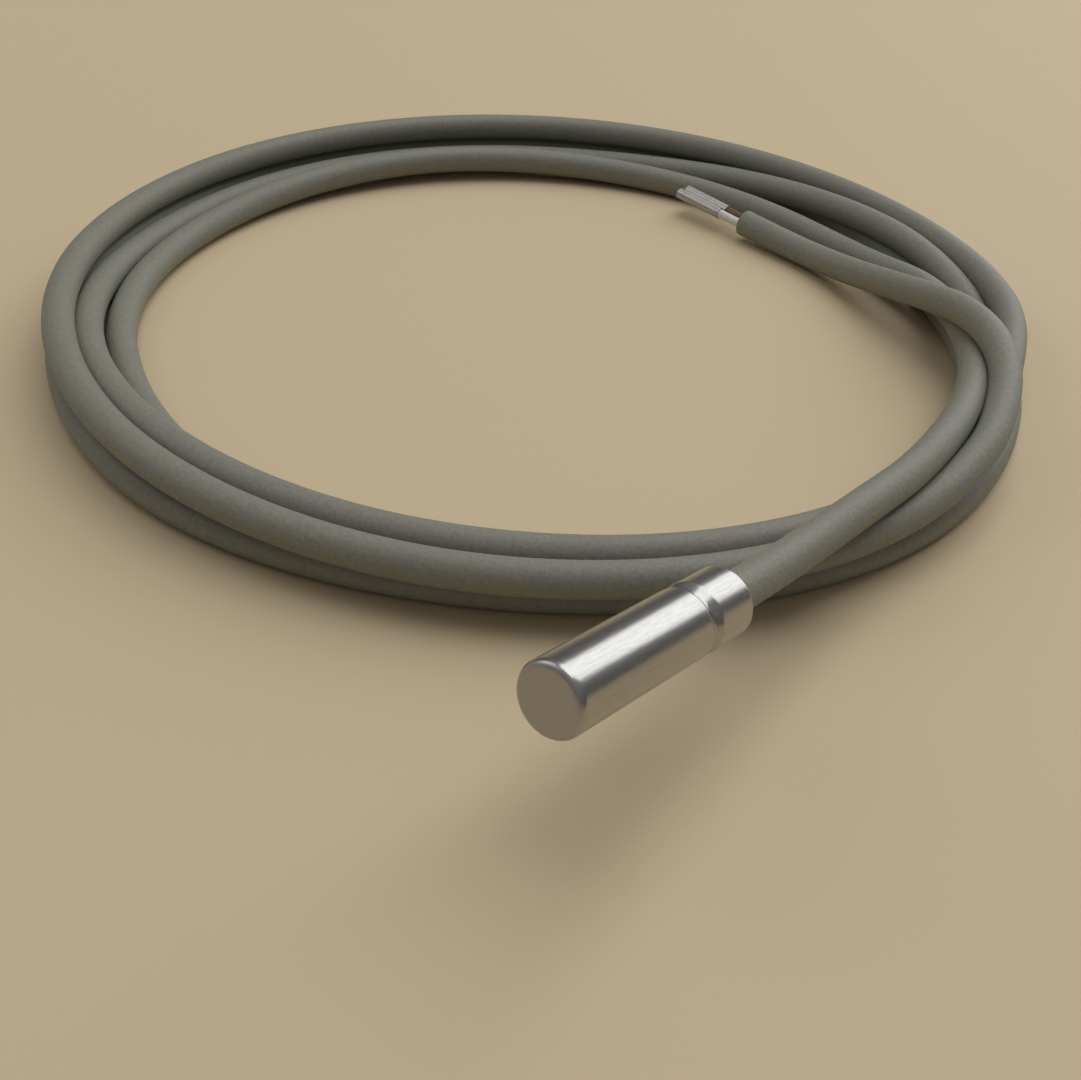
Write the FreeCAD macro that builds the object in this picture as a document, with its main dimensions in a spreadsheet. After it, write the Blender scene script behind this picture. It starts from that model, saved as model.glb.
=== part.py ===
import FreeCAD, Part
import math
import os
import Sketcher

# Temperature probe: a closed metal sleeve on a cable that lies in a coil.
# Millimetres, +Z up. The origin is the centre of the flat tip face, and the
# sleeve runs from it along +Y, a little downhill.

SIZES = [
    # sleeve, measured along its own axis from the tip face
    ("sleeve_tilt", 10.7),
    ("tip_height", 16.2),
    ("sleeve_diameter", 6.0),
    ("sleeve_length", 22.5),
    ("sleeve_wall", 0.3),
    ("tip_wall", 0.5),
    ("tip_edge_radius", 0.6),
    ("groove_from_end", 5.45),
    ("groove_front", 0.65),
    ("groove_rear", 0.85),
    ("groove_depth", 0.5),
    ("groove_floor_radius", 0.5),
    ("groove_shoulder_radius", 0.25),
    ("lip_turn", 0.7),
    ("lip_radius", 0.4),
    # sensor chip and its legs
    ("chip_end_gap", 0.7),
    ("chip_length", 3.0),
    ("chip_width", 2.0),
    ("chip_thickness", 0.6),
    ("glaze_length", 1.0),
    ("glaze_height", 0.5),
    ("leg_diameter", 0.25),
    ("leg_lap", 0.9),
    ("core_offset", 0.85),
    # splices and cores
    ("splice_from_chip", 2.4),
    ("splice_length", 3.0),
    ("splice_tube_wall", 0.2),
    ("splice_tube_overlap", 1.5),
    ("conductor_diameter", 0.6),
    ("insulation_diameter", 1.2),
    ("jacket_from_end", 8.0),
    ("seal_lead", 0.6),
    # cable and coil
    ("cable_diameter", 3.6),
    ("coil_radius", 55.2),
    ("coil_centre_left", 54.0),
    ("coil_centre_behind", 65.2),
    ("lane_overlap", 0.2),
    ("upper_start_angle", 68.0),
    ("upper_sweep_angle", 264.0),
    # bare far end
    ("tail_core_bare", 5.0),
    ("ferrule_diameter", 1.5),
    ("ferrule_length", 8.0),
    ("ferrule_lap", 1.0),
]

doc = FreeCAD.newDocument("TemperatureProbe")
sheet = doc.addObject("Spreadsheet::Sheet", "Sizes")
for row, (name, value) in enumerate(SIZES, start=1):
    sheet.set("A%d" % row, name)
    sheet.set("B%d" % row, str(value))
    sheet.setAlias("B%d" % row, name)
doc.recompute()

size = {name: float(sheet.get(name)) for name, value in SIZES}
parts = []


def keep(obj, label):
    """Names a finished sub-part and puts it on the list to write out."""
    obj.Label = label
    parts.append(obj)
    return obj


# Words used in several expressions, all along the sleeve's axis from the tip.
GROOVE = "(Sizes.sleeve_length - Sizes.groove_from_end)"
GROOVE_START = "(%s - Sizes.groove_front)" % GROOVE
GROOVE_END = "(%s + Sizes.groove_rear)" % GROOVE
OUTER = "(Sizes.sleeve_diameter / 2)"
BORE = "(Sizes.sleeve_diameter / 2 - Sizes.sleeve_wall)"
LIP_OPENING = "(Sizes.sleeve_diameter / 2 - Sizes.lip_turn)"
CHIP_START = "(Sizes.tip_wall + Sizes.chip_end_gap)"
CHIP_END = "(%s + Sizes.chip_length)" % CHIP_START
LEG_START = "(%s - Sizes.leg_lap)" % CHIP_END
SPLICE_START = "(%s + Sizes.splice_from_chip)" % CHIP_END
SPLICE_MID = "(%s + Sizes.splice_length / 2)" % SPLICE_START
SPLICE_END = "(%s + Sizes.splice_length)" % SPLICE_START
TUBE_START = "(%s - Sizes.splice_tube_overlap)" % SPLICE_START
TUBE_END = "(%s + Sizes.splice_tube_overlap)" % SPLICE_END
JACKET_START = "(Sizes.sleeve_length - Sizes.jacket_from_end)"
SEAL_START = "(%s - Sizes.seal_lead)" % GROOVE_START
SEAL_END = "(Sizes.sleeve_length - Sizes.sleeve_wall)"
TUBE_DIAMETER = "(Sizes.insulation_diameter + 2 * Sizes.splice_tube_wall)"
SLEEVE_PLACE = "placement(vector(0; 0; 0); rotation(vector(1; 0; 0); -90 - Sizes.sleeve_tilt))"


def in_sleeve(obj, x="0", y="0", z="0"):
    """Places a piece in the sleeve's own frame: z from the tip, y downward."""
    local = "placement(vector(%s; %s; %s); rotation(vector(0; 0; 1); 0))" % (x, y, z)
    obj.setExpression("Placement", SLEEVE_PLACE + " * " + local)


def cylinder(name, diameter, start, end, x="0"):
    """A round piece along the sleeve's axis."""
    obj = doc.addObject("Part::Cylinder", name)
    obj.setExpression("Radius", "%s / 2" % diameter)
    obj.setExpression("Height", "%s - %s" % (end, start))
    in_sleeve(obj, x=x, z=start)
    return obj


def cut(name, base, tool):
    obj = doc.addObject("Part::Cut", name)
    obj.Base = base
    obj.Tool = tool
    return obj


def fuse(name, shapes):
    obj = doc.addObject("Part::MultiFuse", name)
    obj.Shapes = shapes
    return obj


def new_body(name):
    return doc.addObject("PartDesign::Body", name)


def section_sketch(body, name):
    """A sketch on the body's XZ plane: across is the radius, up is the axis."""
    sketch = body.newObject("Sketcher::SketchObject", name)
    plane = [item for item in body.Origin.OriginFeatures if item.Role == "XZ_Plane"][0]
    sketch.AttachmentSupport = [(plane, "")]
    sketch.MapMode = "FlatFace"
    return sketch


def pin_point(sketch, geometry, point, across, up):
    """Ties one point of a sketch to the sheet, from the sketch's origin."""
    for kind, expression in (("DistanceX", across), ("DistanceY", up)):
        if expression == "0":
            axis = -2 if kind == "DistanceX" else -1
            sketch.addConstraint(Sketcher.Constraint("PointOnObject", geometry, point, axis))
        elif expression:
            value = sketch.evalExpression(expression)
            index = sketch.addConstraint(Sketcher.Constraint(kind, -1, 1, geometry, point, float(value)))
            sketch.setExpression("Constraints[%d]" % index, expression)


def polygon(sketch, corners):
    """A closed outline whose corners are pairs of sheet expressions."""
    spots = []
    for across, up in corners:
        spot = FreeCAD.Vector(float(sketch.evalExpression(across)), float(sketch.evalExpression(up)), 0)
        spots.append(spot)
    count = len(spots)
    for i in range(count):
        sketch.addGeometry(Part.LineSegment(spots[i], spots[(i + 1) % count]))
    for i in range(count):
        sketch.addConstraint(Sketcher.Constraint("Coincident", i, 2, (i + 1) % count, 1))
    for i, (across, up) in enumerate(corners):
        pin_point(sketch, i, 1, across, up)


def revolve(body, sketch, name):
    feature = body.newObject("PartDesign::Revolution", name)
    feature.Profile = sketch
    feature.ReferenceAxis = (sketch, ["V_Axis"])
    feature.Angle = 360
    sketch.Visibility = False
    return feature


def ring_edge(feature, radius, height):
    """The name of the circular edge at this radius and height."""
    for i, edge in enumerate(feature.Shape.Edges, start=1):
        curve = edge.Curve
        if isinstance(curve, Part.Circle):
            if abs(curve.Radius - radius) < 1e-4 and abs(curve.Center.z - height) < 1e-4:
                return "Edge%d" % i
    raise RuntimeError("no edge at radius %.3f, height %.3f" % (radius, height))


def round_edges(body, base, name, radius, spots):
    """Rounds the circular edges at these radius and height pairs."""
    doc.recompute()
    feature = body.newObject("PartDesign::Fillet", name)
    feature.Base = (base, [ring_edge(base, across, up) for across, up in spots])
    feature.setExpression("Radius", radius)
    return feature


# Sleeve: a deep-drawn cup of even wall, with a rolled groove and a turned-in lip.
sleeve = new_body("Sleeve")
sleeve_section = section_sketch(sleeve, "SleeveSection")
polygon(sleeve_section, [
    ("0", "0"),
    (OUTER, "0"),
    (OUTER, GROOVE_START),
    (OUTER + " - Sizes.groove_depth", GROOVE),
    (OUTER, GROOVE_END),
    (OUTER, "Sizes.sleeve_length"),
    (LIP_OPENING, "Sizes.sleeve_length"),
    (LIP_OPENING, SEAL_END),
    (BORE, SEAL_END),
    (BORE, GROOVE_END),
    (BORE + " - Sizes.groove_depth", GROOVE),
    (BORE, GROOVE_START),
    (BORE, "Sizes.tip_wall"),
    ("0", "Sizes.tip_wall"),
])
sleeve_turn = revolve(sleeve, sleeve_section, "SleeveTurn")

outer = size["sleeve_diameter"] / 2
groove = size["sleeve_length"] - size["groove_from_end"]
shoulders = [(outer, groove - size["groove_front"]), (outer, groove + size["groove_rear"])]
tip_round = round_edges(sleeve, sleeve_turn, "TipRound", "Sizes.tip_edge_radius", [(outer, 0)])
floor_round = round_edges(sleeve, tip_round, "GrooveFloorRound", "Sizes.groove_floor_radius",
                          [(outer - size["groove_depth"], groove)])
shoulder_round = round_edges(sleeve, floor_round, "GrooveShoulderRound", "Sizes.groove_shoulder_radius",
                             shoulders)
lip_round = round_edges(sleeve, shoulder_round, "LipRound", "Sizes.lip_radius",
                        [(outer, size["sleeve_length"])])
sleeve.setExpression("Placement", SLEEVE_PLACE)
keep(sleeve, "probe_sleeve")

# Rubber bush between the cable and the sleeve, gripped by the groove.
seal = new_body("Seal")
seal_section = section_sketch(seal, "SealSection")
polygon(seal_section, [
    ("Sizes.cable_diameter / 2", SEAL_START),
    (BORE, SEAL_START),
    (BORE, GROOVE_START),
    (BORE + " - Sizes.groove_depth", GROOVE),
    (BORE, GROOVE_END),
    (BORE, SEAL_END),
    ("Sizes.cable_diameter / 2", SEAL_END),
])
revolve(seal, seal_section, "SealTurn")
seal.setExpression("Placement", SLEEVE_PLACE)
keep(seal, "cable_seal")

# Film chip, just below the legs that are soldered on its face.
chip = doc.addObject("Part::Box", "Chip")
chip.setExpression("Length", "Sizes.chip_width")
chip.setExpression("Width", "Sizes.chip_thickness")
chip.setExpression("Height", "Sizes.chip_length")
in_sleeve(chip, x="-Sizes.chip_width / 2", y="Sizes.leg_diameter / 2", z=CHIP_START)
keep(chip, "sensor_chip")

legs = []
conductors = []
insulations = []
tubes = []
splices = []
for side, sign in (("left", "-"), ("right", "")):
    offset = sign + "Sizes.core_offset"
    leg = cylinder("Leg_" + side, "Sizes.leg_diameter", LEG_START, SPLICE_MID, offset)
    legs.append(keep(leg, "chip_leg_" + side))

    conductor = cylinder("Conductor_" + side, "Sizes.conductor_diameter", SPLICE_MID, JACKET_START, offset)
    conductors.append(keep(conductor, "core_conductor_" + side))

    wire = cylinder("Wire_" + side, "Sizes.insulation_diameter", SPLICE_END, JACKET_START, offset)
    insulations.append(keep(cut("Insulation_" + side, wire, conductor), "core_insulation_" + side))

    barrel = cylinder("Barrel_" + side, "Sizes.insulation_diameter", SPLICE_START, SPLICE_END, offset)
    joined = fuse("Joined_" + side, [leg, conductor])
    splices.append(keep(cut("Splice_" + side, barrel, joined), "splice_" + side))

    cover = cylinder("Cover_" + side, TUBE_DIAMETER, TUBE_START, TUBE_END, offset)
    hollow = cylinder("Hollow_" + side, "Sizes.insulation_diameter", TUBE_START, TUBE_END, offset)
    tubes.append(keep(cut("Tube_" + side, cover, hollow), "splice_tube_" + side))

# Glaze bead over the ends of the legs.
bead = doc.addObject("Part::Box", "Bead")
bead.setExpression("Length", "Sizes.chip_width")
bead.setExpression("Width", "Sizes.glaze_height")
bead.setExpression("Height", "Sizes.glaze_length")
in_sleeve(bead, x="-Sizes.chip_width / 2", y="Sizes.leg_diameter / 2 - Sizes.glaze_height",
          z="(%s - Sizes.glaze_length)" % CHIP_END)
glaze = keep(cut("Glaze", bead, fuse("BothLegs", legs)), "chip_glaze")

# Resin fills what is left of the sleeve in front of the bush.
cavity = cylinder("Cavity", "(2 * %s)" % BORE, "Sizes.tip_wall", SEAL_START)
jacket_room = cylinder("JacketRoom", "Sizes.cable_diameter", JACKET_START, SEAL_START)
contents = fuse("Contents", [chip, glaze, jacket_room] + legs + conductors + insulations + splices + tubes)
keep(cut("Resin", cavity, contents), "resin_fill")

# Coil: a full lower ring two cables wide, and most of a turn laid on top of it.
CABLE_RADIUS = "(Sizes.cable_diameter / 2)"
LANE_SPREAD = "((Sizes.cable_diameter - Sizes.lane_overlap) / 2)"
LOWER_LANE = CABLE_RADIUS
UPPER_LANE = "(%s + Sizes.cable_diameter - Sizes.lane_overlap)" % CABLE_RADIUS


def lane_section(body, name, lane_height):
    """The outline round two cables that lie side by side."""
    sketch = section_sketch(body, name)
    ends = ["(Sizes.coil_radius - %s)" % LANE_SPREAD, "(Sizes.coil_radius + %s)" % LANE_SPREAD]
    low = "%s - %s" % (lane_height, CABLE_RADIUS)
    high = "%s + %s" % (lane_height, CABLE_RADIUS)
    inner, outer_end, middle, bottom, top = [float(sketch.evalExpression(text))
                                             for text in ends + [lane_height, low, high]]
    radius = (top - bottom) / 2
    corner = FreeCAD.Vector
    sketch.addGeometry(Part.LineSegment(corner(inner, bottom, 0), corner(outer_end, bottom, 0)))
    sketch.addGeometry(Part.Arc(corner(outer_end, bottom, 0), corner(outer_end + radius, middle, 0),
                                corner(outer_end, top, 0)))
    sketch.addGeometry(Part.LineSegment(corner(outer_end, top, 0), corner(inner, top, 0)))
    sketch.addGeometry(Part.Arc(corner(inner, top, 0), corner(inner - radius, middle, 0),
                                corner(inner, bottom, 0)))
    for i in range(4):
        sketch.addConstraint(Sketcher.Constraint("Coincident", i, 2, (i + 1) % 4, 1))
    pin_point(sketch, 0, 1, ends[0], "0" if lane_height == LOWER_LANE else low)
    pin_point(sketch, 0, 2, ends[1], "0" if lane_height == LOWER_LANE else low)
    pin_point(sketch, 2, 1, ends[1], high)
    pin_point(sketch, 2, 2, ends[0], high)
    pin_point(sketch, 1, 3, ends[1], "")
    pin_point(sketch, 3, 3, ends[0], "")
    return sketch


coil = new_body("Coil")
lower_section = lane_section(coil, "LowerSection", LOWER_LANE)
revolve(coil, lower_section, "LowerRing")
doc.recompute()
upper_section = lane_section(coil, "UpperSection", UPPER_LANE)
upper_section.setExpression(
    "AttachmentOffset", "placement(vector(0; 0; 0); rotation(vector(0; 1; 0); Sizes.upper_start_angle))")
doc.recompute()
upper_ring = revolve(coil, upper_section, "UpperRing")
upper_ring.setExpression("Angle", "Sizes.upper_sweep_angle")
coil.setExpression("Placement", "placement(vector(-Sizes.coil_centre_left; Sizes.coil_centre_behind; "
                                "-Sizes.tip_height); rotation(vector(0; 0; 1); 0))")
keep(coil, "cable_coil")

# Cable runs outside the coil. Heights of the route points are above the floor.
floor = -size["tip_height"]
tilt = math.radians(size["sleeve_tilt"])
cable_radius = size["cable_diameter"] / 2
lane_spread = (size["cable_diameter"] - size["lane_overlap"]) / 2
centre = FreeCAD.Vector(-size["coil_centre_left"], size["coil_centre_behind"], floor)
top_lane = size["cable_diameter"] + cable_radius
RUN_AT_JOIN = 11.4


def above_floor(x, y, height):
    return FreeCAD.Vector(x, y, floor + height)


def on_axis(distance):
    """A point on the sleeve's axis, this far from the tip."""
    return FreeCAD.Vector(0, distance * math.cos(tilt), -distance * math.sin(tilt))


def on_coil(angle, lane, ahead):
    """A point on the top lane, moved ahead along the tangent there."""
    turn = math.radians(angle)
    radius = size["coil_radius"] + lane * lane_spread
    out = FreeCAD.Vector(math.cos(turn), math.sin(turn), 0)
    along = FreeCAD.Vector(-math.sin(turn), math.cos(turn), 0)
    return centre + out * radius + along * ahead + FreeCAD.Vector(0, 0, top_lane)


def tube(points, radius, name):
    """A round bar along straight runs that are joined by tangent arcs."""
    bends = []
    edges = []
    last = points[0]
    for before, here, after in zip(points, points[1:], points[2:]):
        back = (before - here).normalize()
        ahead = (after - here).normalize()
        trim = 0.45 * min((before - here).Length, (after - here).Length)
        turn = math.pi - back.getAngle(ahead)
        bends.append(trim / math.tan(turn / 2))
        start = here + back * trim
        end = here + ahead * trim
        middle_way = (back + ahead).normalize()
        reach = bends[-1] / math.cos(turn / 2) - bends[-1]
        edges.append(Part.LineSegment(last, start).toShape())
        edges.append(Part.Arc(start, here + middle_way * reach, end).toShape())
        last = end
    edges.append(Part.LineSegment(last, points[-1]).toShape())
    path = Part.Wire(edges)
    ring = Part.Wire([Part.Circle(points[0], points[1] - points[0], radius).toShape()])
    solid = path.makePipeShell([ring], True, False)
    plain = math.pi * radius ** 2 * path.Length
    print("%s: length %.1f, tightest bend %.1f, volume ratio %.4f"
          % (name, path.Length, min(bends), solid.Volume / plain))
    obj = doc.addObject("Part::Feature", name)
    obj.Shape = solid
    return keep(obj, name)


jacket_start = size["sleeve_length"] - size["jacket_from_end"]
join_angle = size["upper_start_angle"]
leave_angle = join_angle + size["upper_sweep_angle"]

lead_route = [
    on_axis(jacket_start),
    on_axis(jacket_start + 15.0),
    above_floor(0.15, 44.2, 9.3),
    above_floor(-0.05, 57.0, 8.6),
    above_floor(-1.2, 68.9, 8.0),
    above_floor(-4.0, 80.5, 7.25),
    above_floor(-8.45, 91.5, 6.6),
    above_floor(-15.1, 101.5, 6.0),
    on_coil(join_angle, -1, -RUN_AT_JOIN),
    on_coil(join_angle, -1, 0),
]
tube(lead_route, cable_radius, "cable_lead")

tail_route = [
    on_coil(leave_angle, 1, 0),
    on_coil(leave_angle, 1, 10.6),
    above_floor(3.1, 58.7, 6.1),
    above_floor(2.6, 70.1, 7.9),
    above_floor(-1.0, 81.0, 10.15),
    above_floor(-8.4, 88.6, 11.1),
    above_floor(-17.0, 94.1, 9.2),
    above_floor(-26.3, 98.6, 6.2),
    above_floor(-34.8, 103.6, 3.6),
    above_floor(-43.1, 106.6, 1.95),
    above_floor(-51.8, 107.8, 2.4),
]
tube(tail_route, cable_radius, "cable_tail")

# Bare cores beyond the jacket's far end.
tail_end = tail_route[-1]
tail_way = (tail_route[-1] - tail_route[-2]).normalize()
tail_side = FreeCAD.Vector(0, 0, 1).cross(tail_way).normalize()
tail_turn = FreeCAD.Rotation(FreeCAD.Vector(0, 0, 1), tail_way)


def tail_cylinder(name, diameter, start, length, side):
    """A round piece along the tail's last direction, from its end face."""
    obj = doc.addObject("Part::Cylinder", name)
    obj.setExpression("Radius", "%s / 2" % diameter)
    obj.setExpression("Height", length)
    spot = tail_end + tail_way * start + tail_side * side
    obj.Placement = FreeCAD.Placement(spot, tail_turn)
    return obj


for side, sign in (("left", 1), ("right", -1)):
    offset = sign * size["core_offset"]
    bare = size["tail_core_bare"]
    lap = size["ferrule_lap"]
    reach = "Sizes.tail_core_bare + Sizes.ferrule_length - Sizes.ferrule_lap"
    conductor = tail_cylinder("TailWire_" + side, "Sizes.conductor_diameter", 0, reach, offset)
    keep(conductor, "tail_conductor_" + side)
    cover = tail_cylinder("TailCover_" + side, "Sizes.insulation_diameter", 0, "Sizes.tail_core_bare", offset)
    core = keep(cut("TailCore_" + side, cover, conductor), "tail_core_" + side)
    shell = tail_cylinder("TailShell_" + side, "Sizes.ferrule_diameter", bare - lap,
                          "Sizes.ferrule_length", offset)
    inside = fuse("TailInside_" + side, [core, conductor])
    keep(cut("Ferrule_" + side, shell, inside), "ferrule_" + side)

doc.recompute()

os.makedirs("parts", exist_ok=True)
for obj in doc.Objects:
    if "Invalid" in obj.State or "Error" in obj.State:
        raise RuntimeError("%s did not build: %s" % (obj.Label, obj.State))
for obj in parts:
    shape = obj.Shape
    if shape.isNull() or not shape.isValid() or len(shape.Solids) != 1:
        raise RuntimeError("%s is not one sound solid" % obj.Label)
    shape.exportStep("parts/%s.step" % obj.Label)
    print("%s: volume %.3f" % (obj.Label, shape.Volume))
print("%d parts written" % len(parts))
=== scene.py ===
import math

import bpy
from mathutils import Matrix, Vector


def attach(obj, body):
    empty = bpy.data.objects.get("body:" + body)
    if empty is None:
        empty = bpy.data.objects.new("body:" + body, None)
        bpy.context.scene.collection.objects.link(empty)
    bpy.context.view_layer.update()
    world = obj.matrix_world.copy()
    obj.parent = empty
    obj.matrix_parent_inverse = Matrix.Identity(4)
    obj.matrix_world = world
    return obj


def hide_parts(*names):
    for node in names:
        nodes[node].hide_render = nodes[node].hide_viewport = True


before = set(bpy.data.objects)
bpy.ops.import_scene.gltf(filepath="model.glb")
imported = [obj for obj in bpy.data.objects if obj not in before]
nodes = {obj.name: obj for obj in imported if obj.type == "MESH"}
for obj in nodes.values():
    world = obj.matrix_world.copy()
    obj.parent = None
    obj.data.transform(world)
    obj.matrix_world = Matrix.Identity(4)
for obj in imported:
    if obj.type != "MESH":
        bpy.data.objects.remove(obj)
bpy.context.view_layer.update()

# Looks for the temperature probe. The object and the camera are placed in millimetres, as in the CAD
# model, and MM turns them into metres. The floor, the lights and the textures are in metres.
MM = 0.001

# Sizes that the CAD model has too.
FLOOR = -16.2
SLEEVE_TILT = math.radians(10.7)
JACKET_START = 14.5
CABLE_DIAMETER = 3.6
COIL_CENTRE = (-54.0, 65.2)

# How finely the cable is drawn.
POINTS_PER_TURN = 30
STEPS_BETWEEN_POINTS = 8
STEPS_ROUND_JACKET = 7

# The height of the cable's middle where it lies on the floor.
LOW = CABLE_DIAMETER / 2

# The camera's right, from which angles round the coil are counted, is turned this far from +X.
VIEW_TURN = 37.65

scene = bpy.context.scene


def on_axis(distance):
    """A point on the sleeve's axis, this far from the tip."""
    return (0.0, distance * math.cos(SLEEVE_TILT), -distance * math.sin(SLEEVE_TILT))


def above_floor(x, y, height):
    """A point this high above the floor."""
    return (x, y, FLOOR + height)


def round_coil(angle, radius, height):
    """A point by its angle round the coil, its distance from the middle and its height."""
    turn = math.radians(angle + VIEW_TURN)
    return above_floor(COIL_CENTRE[0] + radius * math.cos(turn),
                       COIL_CENTRE[1] + radius * math.sin(turn), height)


# The cable: out of the sleeve and up over its own coil, four turns round it, then over and in again.
lead = [
    on_axis(JACKET_START),
    on_axis(25.0),
    above_floor(0.1, 35.5, 10.2),
    above_floor(0.3, 46.5, 9.5),
]

# The turns, read from the photograph: angle along the winding, radius and height. The first turn comes
# down from the sleeve and lies low inside.
first_turn = [
    (-48, 55.1, 8.8), (-36, 53.1, 8.2), (-24, 51.9, 7.2), (-12, 51.3, 5.8), (0, 51.0, 5.0),
    (12, 49.9, 4.7), (20, 48.6, 3.4), (30, 48.3, 2.1), (45, 48.9, LOW), (65, 49.8, 1.9),
    (90, 50.2, 2.5), (112, 50.4, 2.9), (135, 50.3, 2.4), (160, 50.2, LOW), (178, 50.4, LOW),
    (192, 50.3, LOW), (208, 49.9, LOW), (224, 50.5, LOW), (242, 51.0, LOW), (270, 51.2, LOW),
    (300, 51.5, LOW), (318, 52.1, LOW), (340, 52.4, LOW),
]

# The second turn lies low outside.
second_turn = [
    (360, 52.3, LOW), (374, 52.2, LOW), (382, 53.2, LOW), (394, 55.2, LOW), (408, 57.0, LOW),
    (425, 57.6, LOW), (450, 57.7, LOW), (495, 57.5, LOW), (534, 57.3, LOW), (558, 56.7, LOW),
    (572, 56.6, LOW), (586, 56.8, LOW), (600, 56.1, LOW), (615, 55.2, LOW), (630, 54.9, LOW),
    (650, 55.4, LOW), (675, 56.5, LOW), (700, 56.1, LOW), (716, 55.9, 2.0),
]

# The third turn crosses the second at the right, lies low between the two, and climbs over the first
# at the left.
third_turn = [
    (724, 55.6, 3.0), (730, 54.7, 4.1), (736, 54.0, 5.1), (744, 53.6, 5.4), (760, 53.8, 4.6),
    (775, 54.0, 3.5), (792, 53.9, 2.3), (808, 53.8, LOW), (855, 53.9, LOW), (880, 53.9, LOW),
    (894, 53.9, 2.5), (906, 53.8, 3.5), (918, 53.6, 4.3), (930, 53.3, 4.8), (942, 53.0, 5.1),
    (960, 52.8, 5.2), (976, 52.9, 5.2), (992, 53.2, 5.2), (1010, 53.6, 5.1), (1035, 54.1, 4.75),
    (1056, 54.3, 4.75), (1068, 55.3, 5.4), (1078, 56.9, 6.0),
]

# The last turn lies on top.
last_turn = [
    (1086, 57.7, 5.9), (1098, 57.7, 5.6), (1125, 57.4, 5.5), (1170, 57.1, 5.5), (1195, 56.9, 5.5),
    (1215, 56.9, 5.5), (1240, 56.9, 5.5), (1262, 56.7, 5.9), (1278, 56.4, 6.3), (1290, 56.5, 6.4),
    (1304, 56.8, 6.1), (1318, 56.8, 5.7), (1332, 56.9, 5.4), (1350, 57.2, 5.3), (1380, 57.4, 5.4),
    (1394, 57.3, 6.0), (1404, 56.8, 7.1),
]

winding = first_turn + second_turn + third_turn + last_turn

tail = [
    round_coil(-28, 56.0, 8.0),
    round_coil(-20, 54.9, 8.7),
    round_coil(-12, 52.8, 9.2),
    round_coil(-4.5, 49.9, 8.7),
    round_coil(3, 47.2, 7.0),
    round_coil(11, 45.2, 5.3),
    round_coil(20, 43.8, 3.6),
    round_coil(29, 43.3, 2.4),
    above_floor(-43.1, 106.6, 1.95),
    above_floor(-51.8, 107.8, 2.4),
]


def eased(keys, angle):
    """Radius and height at an angle, on a smooth line through the keys."""
    number = max(i for i in range(len(keys) - 1) if keys[i][0] <= angle)
    start = keys[number]
    end = keys[number + 1]
    before = keys[max(number - 1, 0)]
    after = keys[min(number + 2, len(keys) - 1)]
    span = end[0] - start[0]
    t = (angle - start[0]) / span
    values = []
    for axis in (1, 2):
        slope_in = (end[axis] - before[axis]) / (end[0] - before[0]) * span
        slope_out = (after[axis] - start[axis]) / (after[0] - start[0]) * span
        values.append((2 * t ** 3 - 3 * t ** 2 + 1) * start[axis]
                      + (t ** 3 - 2 * t ** 2 + t) * slope_in
                      + (3 * t ** 2 - 2 * t ** 3) * end[axis]
                      + (t ** 3 - t ** 2) * slope_out)
    radius, height = values
    return radius, max(height, LOW)


def coil_points(keys):
    """The curve's control points round the coil, which stand a little outside the curve itself."""
    step = 360.0 / POINTS_PER_TURN
    reach = 1.0 / math.cos(math.radians(step / 2))
    first = keys[0][0]
    count = int((keys[-1][0] - first) / step) + 1
    points = []
    for number in range(count):
        angle = first + number * step
        radius, height = eased(keys, angle)
        points.append(round_coil(angle, radius * reach, height))
    return points


def smooth_cable(route):
    """The cable as one smooth curve along its route."""
    curve = bpy.data.curves.new("cable", "CURVE")
    curve.dimensions = "3D"
    spline = curve.splines.new("NURBS")
    spline.points.add(len(route) - 1)
    for point, (x, y, z) in zip(spline.points, route):
        point.co = (x * MM, y * MM, z * MM, 1.0)
        point.radius = CABLE_DIAMETER / 2 * MM
    spline.order_u = 3
    spline.use_endpoint_u = True
    spline.resolution_u = STEPS_BETWEEN_POINTS
    # The points carry the radius, because a curve's box is widened by the radius of its points.
    curve.bevel_depth = 1.0
    curve.bevel_resolution = STEPS_ROUND_JACKET
    curve.use_fill_caps = True
    piece = bpy.data.objects.new("cable", curve)
    scene.collection.objects.link(piece)
    return piece


cable = smooth_cable(lead + coil_points(winding) + tail)
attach(cable, "root")
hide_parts("cable_lead", "cable_coil", "cable_tail")


# Materials. Every noise has the same roughness, and every colour ramp the same ends.
NOISE_ROUGHNESS = 0.6
RAMP_ENDS = (0.3, 0.7)


def material(name, colour, roughness, metallic=0.0):
    """A new node material and its shader."""
    mat = bpy.data.materials.new(name)
    mat.use_nodes = True
    shader = mat.node_tree.nodes["Principled BSDF"]
    shader.inputs["Base Color"].default_value = (*colour, 1.0)
    shader.inputs["Roughness"].default_value = roughness
    shader.inputs["Metallic"].default_value = metallic
    return mat, shader


def add(tree, kind, **values):
    """A new node, with inputs set by name."""
    node = tree.nodes.new(kind)
    for key, value in values.items():
        node.inputs[key].default_value = value
    return node


def object_place(tree, turn=(0.0, 0.0, 0.0), scale=(1.0, 1.0, 1.0)):
    """Object coordinates, turned and then scaled."""
    place = add(tree, "ShaderNodeTexCoord")
    turned = add(tree, "ShaderNodeMapping", Rotation=turn)
    scaled = add(tree, "ShaderNodeMapping", Scale=scale)
    tree.links.new(place.outputs["Object"], turned.inputs["Vector"])
    tree.links.new(turned.outputs["Vector"], scaled.inputs["Vector"])
    return scaled.outputs["Vector"]


def noise(tree, where, scale, detail):
    """A cloudy number at each point, in patches about one metre across divided by the scale."""
    texture = add(tree, "ShaderNodeTexNoise", Scale=scale, Detail=detail, Roughness=NOISE_ROUGHNESS)
    tree.links.new(where, texture.inputs["Vector"])
    return texture.outputs["Fac"]


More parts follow.
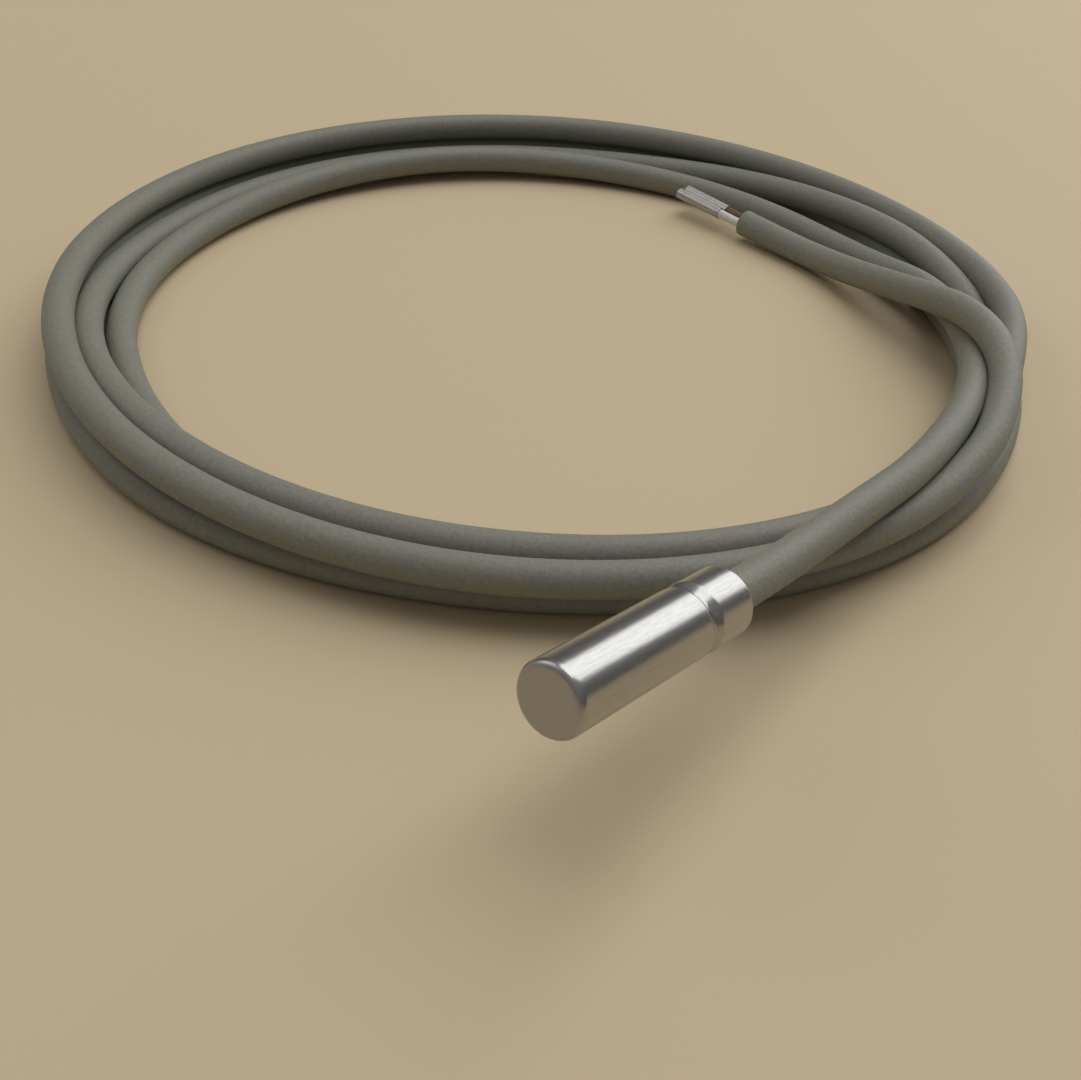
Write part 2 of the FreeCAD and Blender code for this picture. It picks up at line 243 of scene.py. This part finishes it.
def ramp(tree, value, low, high):
    """A number turned into a colour between two."""
    node = add(tree, "ShaderNodeValToRGB")
    for element, position, colour in zip(node.color_ramp.elements, RAMP_ENDS, (low, high)):
        element.position = position
        element.color = (*colour, 1.0)
    tree.links.new(value, node.inputs["Fac"])
    return node.outputs["Color"]


def spread(tree, value, low, high, start=0.0, end=1.0):
    """A number moved from the stretch between start and end to the one between low and high."""
    node = add(tree, "ShaderNodeMapRange")
    for key, limit in (("From Min", start), ("From Max", end), ("To Min", low), ("To Max", high)):
        node.inputs[key].default_value = limit
    tree.links.new(value, node.inputs["Value"])
    return node.outputs["Result"]


def bump(tree, shader, height, strength, distance):
    """Relief on the shader from a number."""
    node = add(tree, "ShaderNodeBump", Strength=strength, Distance=distance)
    tree.links.new(height, node.inputs["Height"])
    tree.links.new(node.outputs["Normal"], shader.inputs["Normal"])


def give(name, mat):
    """Puts a material on a CAD node."""
    slots = nodes[name].data.materials
    slots.clear()
    slots.append(mat)


def jacket_grey():
    """Matte grey plastic with a fine grain, a little smoother in cloudy patches."""
    mat, shader = material("jacket_grey", (0.216, 0.216, 0.178), roughness=0.6)
    tree = mat.node_tree
    where = object_place(tree)
    grain = noise(tree, where, scale=2400.0, detail=3.0)
    cloud = noise(tree, where, scale=160.0, detail=5.0)
    colour = ramp(tree, grain, low=(0.19, 0.19, 0.157), high=(0.242, 0.242, 0.2))
    tree.links.new(colour, shader.inputs["Base Color"])
    tree.links.new(spread(tree, cloud, low=0.5, high=0.66), shader.inputs["Roughness"])
    bump(tree, shader, grain, strength=0.3, distance=0.0002)
    return mat


def sleeve_steel():
    """Satin drawn steel with fine marks along the sleeve's axis, and a duller flat tip."""
    mat, shader = material("sleeve_steel", (0.435, 0.43, 0.418), roughness=0.25, metallic=1.0)
    tree = mat.node_tree
    upright = (math.radians(90.0) + SLEEVE_TILT, 0.0, 0.0)
    # The marks are fine across the axis and longer along it.
    drawn_out = (5000.0, 5000.0, 700.0)
    marks = noise(tree, object_place(tree, upright, drawn_out), scale=1.0, detail=3.0)
    along = add(tree, "ShaderNodeSeparateXYZ")
    tree.links.new(object_place(tree, upright), along.inputs["Vector"])
    # Only the first third of a millimetre of the tip is dull.
    dull_tip = spread(tree, along.outputs["Z"], low=0.2, high=0.0, start=0.00005, end=0.0003)
    roughness = add(tree, "ShaderNodeMath")
    tree.links.new(spread(tree, marks, low=0.22, high=0.28), roughness.inputs[0])
    tree.links.new(dull_tip, roughness.inputs[1])
    tree.links.new(roughness.outputs["Value"], shader.inputs["Roughness"])
    colour = ramp(tree, marks, low=(0.4, 0.396, 0.384), high=(0.47, 0.465, 0.452))
    tree.links.new(colour, shader.inputs["Base Color"])
    bump(tree, shader, marks, strength=0.03, distance=0.000004)
    return mat


def mottled(name, low, high, roughness, scale, targets, metallic=0.0):
    """Gives small pieces a material with a mottled colour and grain."""
    mat, shader = material(name, low, roughness, metallic)
    tree = mat.node_tree
    mottle = noise(tree, object_place(tree), scale, detail=4.0)
    gloss = spread(tree, mottle, low=roughness - 0.08, high=roughness + 0.08)
    tree.links.new(ramp(tree, mottle, low, high), shader.inputs["Base Color"])
    tree.links.new(gloss, shader.inputs["Roughness"])
    bump(tree, shader, mottle, strength=0.2, distance=0.00003)
    for target in targets:
        give(target, mat)


cable.data.materials.append(jacket_grey())
give("probe_sleeve", sleeve_steel())
mottled("seal_rubber", (0.018, 0.018, 0.018), (0.03, 0.03, 0.029), roughness=0.7, scale=2600.0,
        targets=["cable_seal"])
mottled("chip_ceramic", (0.72, 0.72, 0.7), (0.8, 0.8, 0.78), roughness=0.5, scale=1800.0,
        targets=["sensor_chip"])
mottled("glaze_glass", (0.5, 0.56, 0.62), (0.6, 0.66, 0.7), roughness=0.2, scale=1500.0,
        targets=["chip_glaze"])
mottled("leg_wire", (0.7, 0.7, 0.68), (0.8, 0.8, 0.78), roughness=0.25, scale=3000.0, metallic=1.0,
        targets=["chip_leg_left", "chip_leg_right"])
mottled("splice_brass", (0.6, 0.47, 0.22), (0.72, 0.58, 0.3), roughness=0.35, scale=2400.0, metallic=1.0,
        targets=["splice_left", "splice_right"])
mottled("splice_tube", (0.75, 0.75, 0.7), (0.83, 0.83, 0.78), roughness=0.5, scale=1600.0,
        targets=["splice_tube_left", "splice_tube_right"])
mottled("copper_strand", (0.6, 0.3, 0.16), (0.78, 0.42, 0.24), roughness=0.35, scale=3200.0, metallic=1.0,
        targets=["core_conductor_left", "core_conductor_right",
                 "tail_conductor_left", "tail_conductor_right"])
mottled("core_white", (0.62, 0.6, 0.55), (0.72, 0.7, 0.65), roughness=0.5, scale=1400.0,
        targets=["core_insulation_left", "tail_core_left"])
mottled("core_brown", (0.1, 0.05, 0.025), (0.15, 0.08, 0.045), roughness=0.5, scale=1400.0,
        targets=["core_insulation_right", "tail_core_right"])
mottled("resin_dark", (0.03, 0.028, 0.025), (0.05, 0.046, 0.042), roughness=0.3, scale=900.0,
        targets=["resin_fill"])
mottled("ferrule_tin", (0.4, 0.39, 0.37), (0.5, 0.49, 0.47), roughness=0.42, scale=2600.0, metallic=1.0,
        targets=["ferrule_left", "ferrule_right"])


# Floor, sky, lights and camera.
FLOOR_SIDE = 12.0
FLOOR_TAN = (0.62, 0.5, 0.325)
SKY_TINT = (1.0, 0.98, 0.95, 1.0)
LIT_PLACE = (-0.03, 0.05, -0.016)


def pale_floor():
    """The plain floor that the coil lies on."""
    bpy.ops.mesh.primitive_plane_add(size=FLOOR_SIDE, location=(0.0, 0.0, FLOOR * MM))
    floor = bpy.context.object
    floor.name = "floor"
    mat, _ = material("floor_pale", FLOOR_TAN, roughness=0.75)
    floor.data.materials.append(mat)
    return floor


def soft_sky(horizon, zenith):
    """A dim even sky that grows brighter from the horizon up."""
    scene.world = bpy.data.worlds.new("studio")
    scene.world.use_nodes = True
    tree = scene.world.node_tree
    aim = add(tree, "ShaderNodeTexCoord")
    split = add(tree, "ShaderNodeSeparateXYZ")
    tree.links.new(aim.outputs["Generated"], split.inputs["Vector"])
    strength = spread(tree, split.outputs["Z"], low=horizon, high=zenith, start=0.1)
    background = tree.nodes["Background"]
    background.inputs["Color"].default_value = SKY_TINT
    tree.links.new(strength, background.inputs["Strength"])


def area_light(name, place, size, power):
    """A rectangular lamp that points at the object."""
    data = bpy.data.lights.new(name, "AREA")
    data.shape = "RECTANGLE"
    data.size, data.size_y = size
    data.energy = power
    light = bpy.data.objects.new(name, data)
    light.location = place
    light.rotation_euler = (Vector(LIT_PLACE) - Vector(place)).to_track_quat("-Z", "Y").to_euler()
    scene.collection.objects.link(light)


def photo_camera():
    """The camera at the photograph's place, by its axes."""
    right = Vector((0.7654, 0.6412, 0.0547))
    up = Vector((-0.4144, 0.4260, 0.8043))
    back = Vector((0.4925, -0.6382, 0.5918))
    place = Vector((39.79, -53.54, 62.41)) * MM
    data = bpy.data.cameras.new("camera")
    data.sensor_width = 36.0
    data.lens = 44.96
    data.clip_start = 0.001
    camera = bpy.data.objects.new("camera", data)
    camera.matrix_world = Matrix.Translation(place) @ Matrix((right, up, back)).transposed().to_4x4()
    scene.collection.objects.link(camera)
    return camera


pale_floor()
soft_sky(horizon=0.12, zenith=0.3)
area_light("key", place=(0.0, 0.97, 1.17), size=(1.25, 3.6), power=25.5)
area_light("side", place=(-1.12, -0.44, 0.89), size=(0.65, 0.95), power=2.6)
scene.camera = photo_camera()
scene.view_settings.view_transform = "Standard"

bpy.context.view_layer.update()
